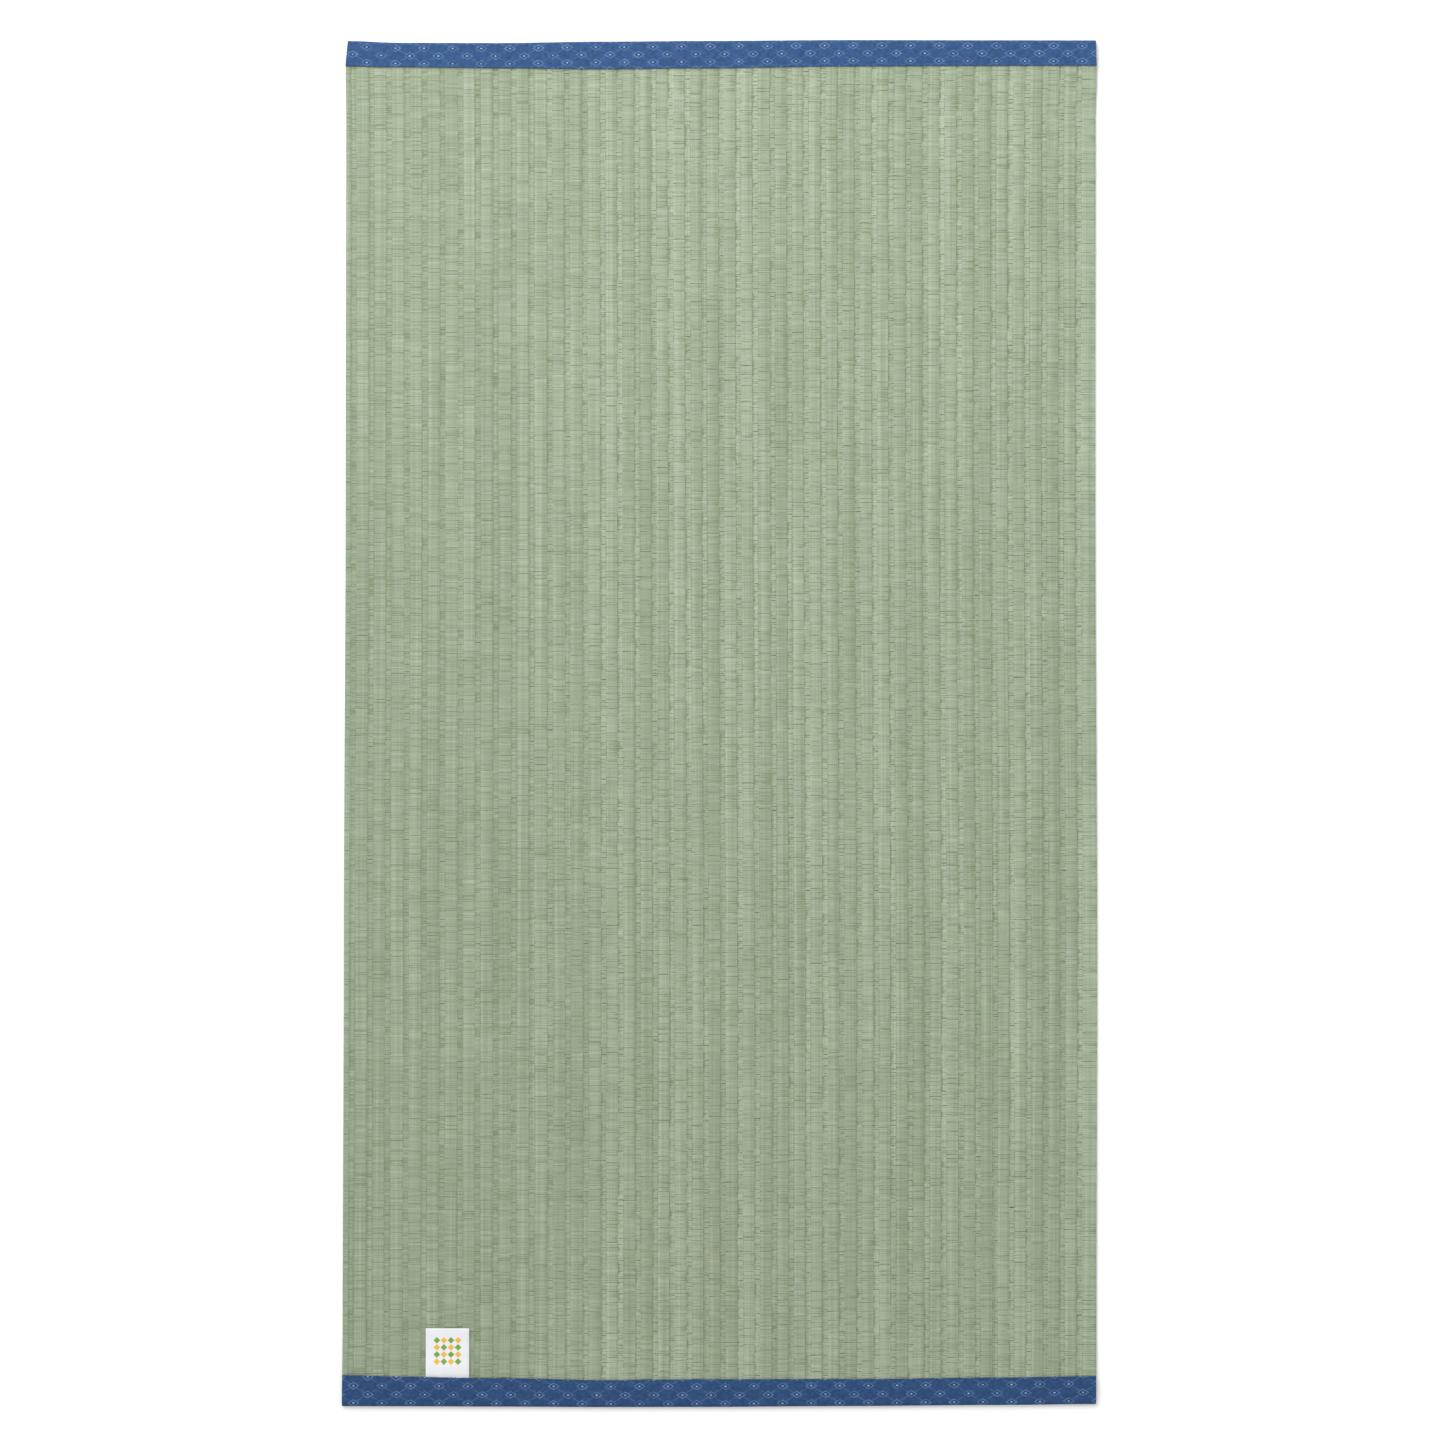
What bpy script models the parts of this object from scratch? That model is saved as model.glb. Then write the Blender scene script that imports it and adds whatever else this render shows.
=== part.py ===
"""Woven rush floor mat with a cloth binding folded over each end and a small label caught in one seam.

Units are metres. +X runs across the mat, +Y along it towards its head end, and +Z up. The mat lies
flat on z = 0, and the origin is under the middle of its outline.
"""

from collections import namedtuple
from math import cos, pi, sin

import bmesh
import bpy

MAT_LENGTH = 1.200
MAT_WIDTH = 0.660

# The ribs run the whole length. Those at the left are a little wider, every groove between two ribs
# wanders this far from an even spacing, and all sway over towards the left at the head. A narrow
# selvedge is left over at the left side, and one as wide as a rib at the right.
RIB_COUNT = 42
WIDE_RIB_COUNT = 14
WIDE_RIB = 0.01573
SELVEDGE_LEFT = 0.0071
SELVEDGE_RIGHT = 0.0151
RIB_WANDER = 0.0003
WANDER_TURNS = (2.4, 5.3)
RIB_SWAY = 0.0018

# The woven rush: from the crests of the ribs on one face to those on the other, and the narrow
# strip that a pair of warp threads draws down between two ribs.
RUSH_THICK = 0.0028
RUSH_UNDER_BINDING = 0.0024
GROOVE_DEPTH = 0.0006
GROOVE_WIDTH = 0.0048

# The binding is a strip of cloth with its raw edges turned under, so it counts as two layers.
CLOTH_THICK = 0.0010
GAP = 0.0003
BINDING_WIDTH = 0.025
FOLD_SEGMENTS = 4

# The rush is lifted by the cloth beneath its ends, and is back on the floor this far inside them.
SETTLE_RUN = 0.045
SETTLED_END = MAT_LENGTH / 2 - BINDING_WIDTH - SETTLE_RUN
SETTLED_MIDDLE = 0.200
RUSH_LIFT = CLOTH_THICK + GAP
BINDING_HEIGHT = RUSH_LIFT + RUSH_UNDER_BINDING + GAP + CLOTH_THICK
FOLD_RADIUS = BINDING_HEIGHT / 2

LABEL_WIDTH = 0.0375
LABEL_LENGTH = 0.0425
LABEL_TAIL = 0.008
LABEL_THICK = 0.0010
LABEL_MIDDLE = -0.2387
# The binding's upper layer rises over the label's tail, and runs down to either side.
HUMP_RISE = LABEL_THICK + GAP
HUMP_CLEAR = 0.001
HUMP_RUN = 0.012
HUMP_REACH = 0.012

# How far each side of the weave lies from the middle, at places along the mat.
SideRow = namedtuple("SideRow", "along left right")
SIDE_ROWS = (
    SideRow(along=0.600, left=-0.3262, right=0.3303),
    SideRow(along=0.575, left=-0.3282, right=0.3309),
    SideRow(along=0.530, left=-0.3278, right=0.3300),
    SideRow(along=0.200, left=-0.3282, right=0.3297),
    SideRow(along=-0.200, left=-0.3298, right=0.3314),
    SideRow(along=-0.530, left=-0.3308, right=0.3307),
    SideRow(along=-0.600, left=-0.3314, right=0.3304),
)

# How far the fold and the sewn edge of a binding lie inside their nominal lines, at places across.
EdgeRow = namedtuple("EdgeRow", "across fold seam")
HEAD_EDGE = (
    EdgeRow(across=-0.327, fold=0.0008, seam=-0.0017),
    EdgeRow(across=-0.280, fold=0.0024, seam=-0.0009),
    EdgeRow(across=-0.192, fold=0.0026, seam=0.0000),
    EdgeRow(across=-0.105, fold=0.0014, seam=0.0009),
    EdgeRow(across=-0.017, fold=0.0008, seam=0.0001),
    EdgeRow(across=0.115, fold=0.0000, seam=-0.0016),
    EdgeRow(across=0.246, fold=0.0002, seam=-0.0021),
    EdgeRow(across=0.331, fold=0.0003, seam=-0.0022),
)
FOOT_EDGE = (
    EdgeRow(across=-0.331, fold=0.0008, seam=0.0034),
    EdgeRow(across=-0.280, fold=0.0007, seam=0.0022),
    EdgeRow(across=-0.192, fold=0.0004, seam=0.0008),
    EdgeRow(across=-0.105, fold=0.0000, seam=-0.0009),
    EdgeRow(across=-0.017, fold=0.0001, seam=-0.0003),
    EdgeRow(across=0.115, fold=0.0009, seam=0.0000),
    EdgeRow(across=0.246, fold=0.0018, seam=0.0013),
    EdgeRow(across=0.331, fold=0.0026, seam=0.0026),
)

# One rib between its two grooves: a share of its width, and how far the upper and lower faces have
# come out of the groove there. The lower crest is pressed flat by the floor.
RibPoint = namedtuple("RibPoint", "share upper lower")
RIB_POINTS = (
    RibPoint(share=0.00, upper=0.0, lower=0.0),
    RibPoint(share=0.17, upper=0.8, lower=1.0),
    RibPoint(share=0.50, upper=1.0, lower=1.0),
    RibPoint(share=0.83, upper=0.8, lower=1.0),
    RibPoint(share=1.00, upper=0.0, lower=0.0),
)
SELVEDGE_POINTS = (
    RibPoint(share=0.00, upper=0.0, lower=0.0),
    RibPoint(share=0.50, upper=0.6, lower=1.0),
    RibPoint(share=1.00, upper=0.0, lower=0.0),
)

# Sections of the weave along the mat. One under a binding follows the binding's fold or seam.
MatRow = namedtuple("MatRow", "end follows inset lift thick")
UNDER_FOLD = dict(follows="fold", inset=FOLD_RADIUS + GAP, lift=RUSH_LIFT, thick=RUSH_UNDER_BINDING)
AT_SEAM = dict(follows="seam", inset=0.0, lift=RUSH_LIFT, thick=RUSH_UNDER_BINDING)
SETTLED = dict(follows="middle", lift=0.0, thick=RUSH_THICK)
MAT_ROWS = (
    MatRow(end=-1, **UNDER_FOLD),
    MatRow(end=-1, **AT_SEAM),
    MatRow(end=-1, inset=SETTLED_END, **SETTLED),
    MatRow(end=-1, inset=SETTLED_MIDDLE, **SETTLED),
    MatRow(end=1, inset=SETTLED_MIDDLE, **SETTLED),
    MatRow(end=1, inset=SETTLED_END, **SETTLED),
    MatRow(end=1, **AT_SEAM),
    MatRow(end=1, **UNDER_FOLD),
)

# The label from its tail in the seam to its free end: the distance from the seam, and how far its
# lower face stands off the crests of the weave.
LabelRow = namedtuple("LabelRow", "out stand")
LABEL_ROWS = (
    LabelRow(out=-LABEL_TAIL, stand=0.0),
    LabelRow(out=0.0, stand=0.0),
    LabelRow(out=0.004, stand=0.0007),
    LabelRow(out=0.008, stand=0.0008),
    LabelRow(out=0.018, stand=0.0001),
    LabelRow(out=0.032, stand=0.0),
    LabelRow(out=LABEL_LENGTH, stand=0.0005),
)


def between(rows, key, value, at):
    """A table's value at a place, eased from row to row and level past its ends."""
    rows = sorted(rows, key=lambda row: getattr(row, key))
    if at <= getattr(rows[0], key):
        return getattr(rows[0], value)
    for low, high in zip(rows, rows[1:]):
        start, stop = getattr(low, key), getattr(high, key)
        if at <= stop:
            share = (at - start) / (stop - start)
            eased = share * share * (3 - 2 * share)
            return getattr(low, value) * (1 - eased) + getattr(high, value) * eased
    return getattr(rows[-1], value)


def fold_line(end, across):
    """How far along the mat a binding's outer fold lies."""
    edge = HEAD_EDGE if end > 0 else FOOT_EDGE
    return end * (MAT_LENGTH / 2 - between(edge, "across", "fold", across))


def seam_line(end, across):
    """How far along the mat a binding's sewn edge lies."""
    edge = HEAD_EDGE if end > 0 else FOOT_EDGE
    return end * (MAT_LENGTH / 2 - BINDING_WIDTH - between(edge, "across", "seam", across))


def across_at(share, along):
    """The place across the mat of a share of its width, on its uneven outline and swaying ribs."""
    left = between(SIDE_ROWS, "along", "left", along)
    right = between(SIDE_ROWS, "along", "right", along)
    sway = RIB_SWAY * sin(pi * share) * along / (MAT_LENGTH / 2)
    return left + share * (right - left) - sway


def make_object(name, mesh, material):
    mesh.materials.append(material)
    mesh.shade_smooth()
    mesh.set_sharp_from_angle(angle=pi / 6)
    made = bpy.data.objects.new(name, mesh)
    bpy.context.scene.collection.objects.link(made)
    return made


def skin(name, loops, material, caps="fan"):
    """A closed body through loops of points: sides of four corners, and a cap at either end.

    A "strip" cap joins the loop's first half to its second half, as on a flat section.
    """
    shape = bmesh.new()
    rings = [[shape.verts.new(point) for point in loop] for loop in loops]
    size = len(loops[0])
    for near, far in zip(rings, rings[1:]):
        for i in range(size):
            j = (i + 1) % size
            shape.faces.new((near[i], near[j], far[j], far[i]))
    for ring in (rings[0], rings[-1]):
        if caps == "strip":
            for i in range(size // 2 - 1):
                shape.faces.new((ring[i], ring[i + 1], ring[size - 2 - i], ring[size - 1 - i]))
        else:
            shape.faces.new(ring)
    bmesh.ops.recalc_face_normals(shape, faces=shape.faces)
    mesh = bpy.data.meshes.new(name)
    shape.to_mesh(mesh)
    shape.free()
    return make_object(name, mesh, material)


def cloth_material(name, colour, roughness):
    material = bpy.data.materials.new(name)
    material.use_nodes = True
    shader = material.node_tree.nodes["Principled BSDF"]
    shader.inputs["Base Color"].default_value = (*colour, 1.0)
    shader.inputs["Roughness"].default_value = roughness
    shader.inputs["Metallic"].default_value = 0.0
    return material


def groove_share(groove):
    """The share of the mat's width at which the middle of a groove lies, counted from the left."""
    ribbed = MAT_WIDTH - SELVEDGE_LEFT - SELVEDGE_RIGHT
    other_rib = (ribbed - WIDE_RIB_COUNT * WIDE_RIB) / (RIB_COUNT - WIDE_RIB_COUNT)
    wide = min(groove, WIDE_RIB_COUNT)
    even = SELVEDGE_LEFT + wide * WIDE_RIB + (groove - wide) * other_rib
    slow, quick = WANDER_TURNS
    wander = RIB_WANDER * (sin(slow * groove) + sin(quick * groove)) / 2
    return (even + wander) / MAT_WIDTH


def spread(points, start, stop):
    """A table of points laid out between two shares of the mat's width."""
    return [(start + point.share * (stop - start), point.upper, point.lower) for point in points]


def weave_points():
    """Every point across the weave as (share of the width, upper, lower), selvedges included."""
    half = GROOVE_WIDTH / 2 / MAT_WIDTH
    points = spread(SELVEDGE_POINTS, 0.0, groove_share(0) - half)
    for rib in range(RIB_COUNT):
        points += spread(RIB_POINTS, groove_share(rib) + half, groove_share(rib + 1) - half)
    return points + spread(RIB_POINTS, groove_share(RIB_COUNT) + half, 1.0)


def mat_row_along(row, share):
    """How far along the mat a section of the weave lies at a share of its width."""
    if row.follows == "middle":
        return row.end * row.inset
    line = fold_line if row.follows == "fold" else seam_line
    nominal = row.end * MAT_LENGTH / 2
    return line(row.end, across_at(share, nominal)) - row.end * row.inset


def make_rush(material):
    """The woven rush, one ribbed sheet that reaches into both bindings."""
    points = weave_points()
    loops = []
    for row in MAT_ROWS:
        upper, lower = [], []
        for share, rise, rise_below in points:
            along = mat_row_along(row, share)
            across = across_at(share, along)
            top = row.lift + row.thick - GROOVE_DEPTH * (1 - rise)
            base = row.lift + GROOVE_DEPTH * (1 - rise_below)
            upper.append((across, along, top))
            lower.append((across, along, base))
        loops.append(upper + lower[::-1])
    return skin("rush_weave", loops, material, caps="strip")


def hump(end, across):
    """How far a binding's upper layer stands over its usual height."""
    if end > 0:
        return 0.0
    past = abs(across - LABEL_MIDDLE) - LABEL_WIDTH / 2 - HUMP_CLEAR
    share = min(max(1 - past / HUMP_RUN, 0.0), 1.0)
    return HUMP_RISE * share


def binding_stations(end):
    """Shares of the width at which the cloth has a section: each groove, and the hump's corners."""
    stations = {0.0, 1.0} | {groove_share(groove) for groove in range(RIB_COUNT + 1)}
    if end < 0:
        near = LABEL_WIDTH / 2 + HUMP_CLEAR
        left, right = across_at(0.0, -MAT_LENGTH / 2), across_at(1.0, -MAT_LENGTH / 2)
        for reach in (near, near + HUMP_RUN):
            for side in (-1, 1):
                stations.add((LABEL_MIDDLE + side * reach - left) / (right - left))
    return sorted(stations)


def fold_arc(radius):
    """Half a circle round the fold, from its upper end to its lower one, as (out, up)."""
    steps = range(FOLD_SEGMENTS + 1)
    return [(radius * sin(pi * i / FOLD_SEGMENTS), radius * cos(pi * i / FOLD_SEGMENTS)) for i in steps]


def binding_section(end, share):
    """The folded cloth's section at a share of the width, once round its outer and inner faces."""
    middle = end * (MAT_LENGTH / 2 - FOLD_RADIUS)
    across = across_at(share, middle)
    fold, seam = fold_line(end, across), seam_line(end, across)
    centre = fold - end * FOLD_RADIUS
    rise = hump(end, across)
    shoulder = seam + end * HUMP_REACH
    outer = [(seam, BINDING_HEIGHT + rise), (shoulder, BINDING_HEIGHT + rise)]
    outer += [(centre + end * out, FOLD_RADIUS + up) for out, up in fold_arc(FOLD_RADIUS)]
    outer += [(seam, 0.0)]
    inner = [(seam, CLOTH_THICK)]
    inner += [(centre + end * out, FOLD_RADIUS + up) for out, up in fold_arc(FOLD_RADIUS - CLOTH_THICK)[::-1]]
    inner += [(shoulder, BINDING_HEIGHT - CLOTH_THICK + rise), (seam, BINDING_HEIGHT - CLOTH_THICK + rise)]
    return [(across_at(share, along), along, up) for along, up in outer + inner]


def make_binding(name, end, material):
    """A strip of cloth folded over one end of the weave, from its upper face to its lower one."""
    loops = [binding_section(end, share) for share in binding_stations(end)]
    return skin(name, loops, material)


def weave_top(along):
    """The height of the weave's crests near the foot, where it comes down off the binding."""
    seam = seam_line(-1, LABEL_MIDDLE)
    down = min(max((along - seam) / SETTLE_RUN, 0.0), 1.0)
    high = RUSH_LIFT + RUSH_UNDER_BINDING
    return high + (RUSH_THICK - high) * down


def make_label(material):
    """A doubled satin tape that lies on the ribs, with its tail under the foot binding."""
    seam = seam_line(-1, LABEL_MIDDLE)
    loops = []
    for row in LABEL_ROWS:
        along = seam + row.out
        base = weave_top(along) + GAP + row.stand
        left, right = LABEL_MIDDLE - LABEL_WIDTH / 2, LABEL_MIDDLE + LABEL_WIDTH / 2
        lower = [(left, along, base), (right, along, base)]
        upper = [(right, along, base + LABEL_THICK), (left, along, base + LABEL_THICK)]
        loops.append(lower + upper)
    return skin("label", loops, material)


def main():
    for old in list(bpy.data.objects):
        bpy.data.objects.remove(old)
    rush = cloth_material("green_rush", (0.32, 0.38, 0.26), 0.62)
    blue = cloth_material("blue_binding_cloth", (0.055, 0.125, 0.29), 0.85)
    white = cloth_material("white_label_satin", (0.80, 0.81, 0.82), 0.45)
    make_rush(rush)
    make_binding("binding_head", 1, blue)
    make_binding("binding_foot", -1, blue)
    make_label(white)


main()
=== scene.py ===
"""Finished surfaces of a woven rush mat: strands, cloth bindings, sewing and a satin label.

Units are metres. +X runs across the mat, +Y along it towards its head end, and +Z up.
"""

from collections import namedtuple
from math import atan2, hypot, pi, radians

import bmesh
import bpy
import numpy as np
from bpy.props import FloatProperty, FloatVectorProperty, IntProperty, PointerProperty
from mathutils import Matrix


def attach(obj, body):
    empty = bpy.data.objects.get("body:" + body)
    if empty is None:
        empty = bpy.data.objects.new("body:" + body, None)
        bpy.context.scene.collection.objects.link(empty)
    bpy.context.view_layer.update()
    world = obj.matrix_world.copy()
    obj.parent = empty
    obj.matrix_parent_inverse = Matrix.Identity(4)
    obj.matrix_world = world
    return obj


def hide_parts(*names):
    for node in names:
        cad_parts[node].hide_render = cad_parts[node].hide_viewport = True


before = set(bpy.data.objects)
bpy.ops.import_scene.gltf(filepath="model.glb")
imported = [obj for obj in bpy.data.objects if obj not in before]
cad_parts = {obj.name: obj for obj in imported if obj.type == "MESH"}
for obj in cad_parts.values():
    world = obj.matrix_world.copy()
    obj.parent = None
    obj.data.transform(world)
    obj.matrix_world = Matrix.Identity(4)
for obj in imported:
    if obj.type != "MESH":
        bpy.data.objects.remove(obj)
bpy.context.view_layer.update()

bl_info = {
    "name": "Rush mat",
    "version": (1, 0, 0),
    "blender": (4, 5, 0),
    "location": "View3D > Sidebar > Rush Mat",
    "description": "Makes the strands, bindings, sewing and label of a woven rush mat",
    "category": "Add Mesh",
}

MM = 0.001
BODY = "root"

MAT_LENGTH = 1.200
MAT_WIDTH = 0.660

# The ribs run the whole length, wider at the left, and sway over towards the left at the head. A
# narrow selvedge is left over at the left side, and one as wide as a rib at the right.
RIB_COUNT = 42
WIDE_RIB_COUNT = 14
WIDE_RIB = 0.01573
SELVEDGE_LEFT = 0.0071
SELVEDGE_RIGHT = 0.0151
RIB_WANDER = 0.0003
WANDER_TURNS = (2.4, 5.3)
RIB_SWAY = 0.0018

RUSH_THICK = 0.0028
RUSH_UNDER_BINDING = 0.0024
GROOVE_DEPTH = 0.0006
GROOVE_WIDTH = 0.0048

CLOTH_THICK = 0.0010
GAP = 0.0003
BINDING_WIDTH = 0.025
SETTLE_RUN = 0.045
SEAM_NOMINAL = MAT_LENGTH / 2 - BINDING_WIDTH
SETTLED_END = SEAM_NOMINAL - SETTLE_RUN
RUSH_LIFT = CLOTH_THICK + GAP
BINDING_HEIGHT = RUSH_LIFT + RUSH_UNDER_BINDING + GAP + CLOTH_THICK
FOLD_RADIUS = BINDING_HEIGHT / 2

LABEL_WIDTH = 0.0375
LABEL_LENGTH = 0.0425
LABEL_TAIL = 0.008
LABEL_MIDDLE = -0.2387
HUMP_RISE = 0.0013
HUMP_CLEAR = 0.001
HUMP_RUN = 0.012
HUMP_REACH = 0.012

# How far each side of the weave lies from the middle, at places along the mat.
SideRow = namedtuple("SideRow", "along left right")
SIDE_ROWS = (
    SideRow(along=-0.600, left=-0.3314, right=0.3304),
    SideRow(along=-0.530, left=-0.3308, right=0.3307),
    SideRow(along=-0.200, left=-0.3298, right=0.3314),
    SideRow(along=0.200, left=-0.3282, right=0.3297),
    SideRow(along=0.530, left=-0.3278, right=0.3300),
    SideRow(along=0.575, left=-0.3282, right=0.3309),
    SideRow(along=0.600, left=-0.3262, right=0.3303),
)

# How far the fold and the sewn edge of a binding lie inside their nominal lines, at places across.
EdgeRow = namedtuple("EdgeRow", "across fold seam")
HEAD_EDGE = (
    EdgeRow(across=-0.327, fold=0.0008, seam=-0.0017),
    EdgeRow(across=-0.280, fold=0.0024, seam=-0.0009),
    EdgeRow(across=-0.192, fold=0.0026, seam=0.0000),
    EdgeRow(across=-0.105, fold=0.0014, seam=0.0009),
    EdgeRow(across=-0.017, fold=0.0008, seam=0.0001),
    EdgeRow(across=0.115, fold=0.0000, seam=-0.0016),
    EdgeRow(across=0.246, fold=0.0002, seam=-0.0021),
    EdgeRow(across=0.331, fold=0.0003, seam=-0.0022),
)
FOOT_EDGE = (
    EdgeRow(across=-0.331, fold=0.0008, seam=0.0034),
    EdgeRow(across=-0.280, fold=0.0007, seam=0.0022),
    EdgeRow(across=-0.192, fold=0.0004, seam=0.0008),
    EdgeRow(across=-0.105, fold=0.0000, seam=-0.0009),
    EdgeRow(across=-0.017, fold=0.0001, seam=-0.0003),
    EdgeRow(across=0.115, fold=0.0009, seam=0.0000),
    EdgeRow(across=0.246, fold=0.0018, seam=0.0013),
    EdgeRow(across=0.331, fold=0.0026, seam=0.0026),
)

# One rib of the ground between its two grooves: a share of its width, and how far the upper and
# lower faces have come out of the groove there.
GroundPoint = namedtuple("GroundPoint", "share upper lower")
RIB_GROUND = (
    GroundPoint(share=0.00, upper=0.0, lower=0.00),
    GroundPoint(share=0.08, upper=0.5, lower=0.62),
    GroundPoint(share=0.20, upper=0.9, lower=0.95),
    GroundPoint(share=0.35, upper=1.0, lower=1.00),
    GroundPoint(share=0.65, upper=1.0, lower=1.00),
    GroundPoint(share=0.80, upper=0.9, lower=0.95),
    GroundPoint(share=0.92, upper=0.5, lower=0.62),
    GroundPoint(share=1.00, upper=0.0, lower=0.00),
)
SELVEDGE_GROUND = (
    GroundPoint(share=0.00, upper=0.0, lower=0.0),
    GroundPoint(share=0.50, upper=0.6, lower=1.0),
    GroundPoint(share=1.00, upper=0.0, lower=0.0),
)
GROUND_GROOVE = 0.00036
STRAND_STAND = 0.00026
# Shade painted on the ground's upper face, which lies in shade under the strands.
UPPER_FACE_SHADE = 0.7

# One visible stretch of a strand, from one warp thread to the next: a share of its length, how far
# it has sunk from its crest, how wide it still is, and how much shade is painted on it for how deep
# in the groove it lies.
FloatRow = namedtuple("FloatRow", "at sunk wide dip")
RIB_FLOAT = (
    FloatRow(at=-0.50, sunk=0.00040, wide=0.85, dip=0.50),
    FloatRow(at=-0.38, sunk=0.00010, wide=1.00, dip=0.05),
    FloatRow(at=0.00, sunk=0.00000, wide=1.00, dip=0.00),
    FloatRow(at=0.36, sunk=0.00009, wide=1.00, dip=0.10),
    FloatRow(at=0.50, sunk=0.00046, wide=0.85, dip=0.85),
)
GROOVE_FLOAT = (
    FloatRow(at=-0.50, sunk=0.00050, wide=0.85, dip=1.00),
    FloatRow(at=0.00, sunk=0.00036, wide=1.00, dip=0.70),
    FloatRow(at=0.50, sunk=0.00042, wide=0.85, dip=0.60),
)
STRAND_ROUND = 0.00022
STRAND_BEND = 0.0007
STRAND_BANDS = 5
STRAND_REACH = 0.006

# Across the mat the ribs pass from lying level at the left to leaning over at the right.
LEAN_FROM = 0.18
LEAN_TO = 0.42
RIB_LEAN = radians(1.3)
GROOVE_LEAN = radians(-6.0)
GROOVE_LIFT = 0.00012
# Where a rib leans, shade is painted across it: its strands are palest at this share of the way from
# groove to groove and most shaded half a rib further on, and its ends stand nearer its crest.
PALEST_AT = 0.22
LEAN_SHADE_MOST = 1.25
END_LIFT = 0.00022

# How much paler or duller one rib's strands are than its neighbours', how much more so where ribs
# lean, how much paler leaning ribs are, as painted light that offsets their shade, and how much
# paler the right selvedge is.
PALE_SPREAD = 0.08
PALE_SPREAD_LEANT = 0.24
PALE_LEANT = 0.40
PALE_TURN = 4.7
PALE_SELVEDGE = 0.25

# The label from its tail in the seam to its free end: the distance from the seam, and how far its
# lower face stands off the crests of the weave.
LabelRow = namedtuple("LabelRow", "out stand")
LABEL_ROWS = (
    LabelRow(out=-LABEL_TAIL, stand=0.0),
    LabelRow(out=0.0, stand=0.0),
    LabelRow(out=0.004, stand=0.0007),
    LabelRow(out=0.008, stand=0.0008),
    LabelRow(out=0.018, stand=0.0001),
    LabelRow(out=0.032, stand=0.0),
    LabelRow(out=LABEL_LENGTH, stand=0.0005),
)
LABEL_SATIN = 0.0007
# The block of woven lozenges: how far its middle lies from the seam, one cell, and cells each way.
BLOCK_MIDDLE = 0.023
LOZENGE_CELL = 0.0062
BLOCK_CELLS = 4
LABEL_COLUMNS = 13
LABEL_STEPS = 27

# The lozenges woven in the bindings: their repeat and size, and where each binding's first row lies.
LOZENGE_PITCH = 25.1 * MM
LOZENGE_LONG = 9.3 * MM
LOZENGE_WIDE = 5.7 * MM
LOZENGE_LINE = 0.60 * MM
DOT_LONG = 2.2 * MM
DOT_WIDE = 1.7 * MM
Pattern = namedtuple("Pattern", "first_across from_fold row_pitch")
HEAD_PATTERN = Pattern(first_across=-0.3094, from_fold=0.0045, row_pitch=0.0067)
FOOT_PATTERN = Pattern(first_across=-0.3212, from_fold=0.0024, row_pitch=0.0076)

# Places on the folded cloth's middle line, as distances from its sewn edge.
CLOTH_STEPS = (0.0005, 0.0011, 0.0017, 0.0023, 0.0029, 0.0035, 0.0060, 0.0090, 0.0120, 0.0150, 0.0185)
CLOTH_ARC_STEPS = 8
CLOTH_STATIONS_A_RIB = 6
CLOTH_SAG = 0.00016
SEAM_RIPPLE = 0.0002
SEAM_INSET = 0.0023
SEAM_TROUGH = 0.00022
SEAM_TROUGH_HALF = 0.0012
THREAD_SUNK = 0.00012

# The photograph's frame: the real width it takes in, and what lies at its middle.
FRAME_WIDTH = 1.2683
FRAME_MIDDLE = (0.0026, 0.0009)
SENSOR = 36.0
LENS = 100.0

# One large soft lamp beyond the head end at the left, turned past the mat so that its light is even
# from side to side, and the light that the room adds from everywhere.
LAMP_PLACE = (-0.9, 2.2, 2.2)
LAMP_AIM = (2.5, 0.0, 0.0)
LAMP_SIZE = 2.4
LAMP_WATTS = 92.0
ROOM_LIGHT = 0.82


def linear(hex_colour):
    """An sRGB hex value as linear red, green, blue and full opacity."""
    parts = np.array([int(hex_colour[i : i + 2], 16) / 255 for i in (0, 2, 4)])
    parts = np.where(parts <= 0.04045, parts / 12.92, ((parts + 0.055) / 1.055) ** 2.4)
    return (*(float(part) for part in parts), 1.0)


def tint(name, description, hex_colour):
    """A colour that a user would change, with its default."""
    return FloatVectorProperty(
        name=name,
        description=description,
        subtype="COLOR",
        size=4,
        min=0.0,
        max=1.0,
        default=linear(hex_colour),
    )


class RushMatSizes(bpy.types.PropertyGroup):
    strand_pitch: FloatProperty(
        name="Strand pitch", description="From one rush strand to the next", default=1.6 * MM, unit="LENGTH"
    )
    strand_stray: FloatProperty(
        name="Strand stray",
        description="How far a strand lies from its even place",
        default=0.26 * MM,
        unit="LENGTH",
    )
    strand_seed: IntProperty(name="Seed", description="Picks the strands' small differences", default=7)
    stitch_pitch: FloatProperty(
        name="Stitch pitch", description="From one stitch to the next", default=3.2 * MM, unit="LENGTH"
    )
    stitch_length: FloatProperty(
        name="Stitch length", description="What shows of one stitch", default=2.5 * MM, unit="LENGTH"
    )
    thread_thickness: FloatProperty(
        name="Thread thickness", description="Across the sewing thread", default=0.36 * MM, unit="LENGTH"
    )


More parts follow.
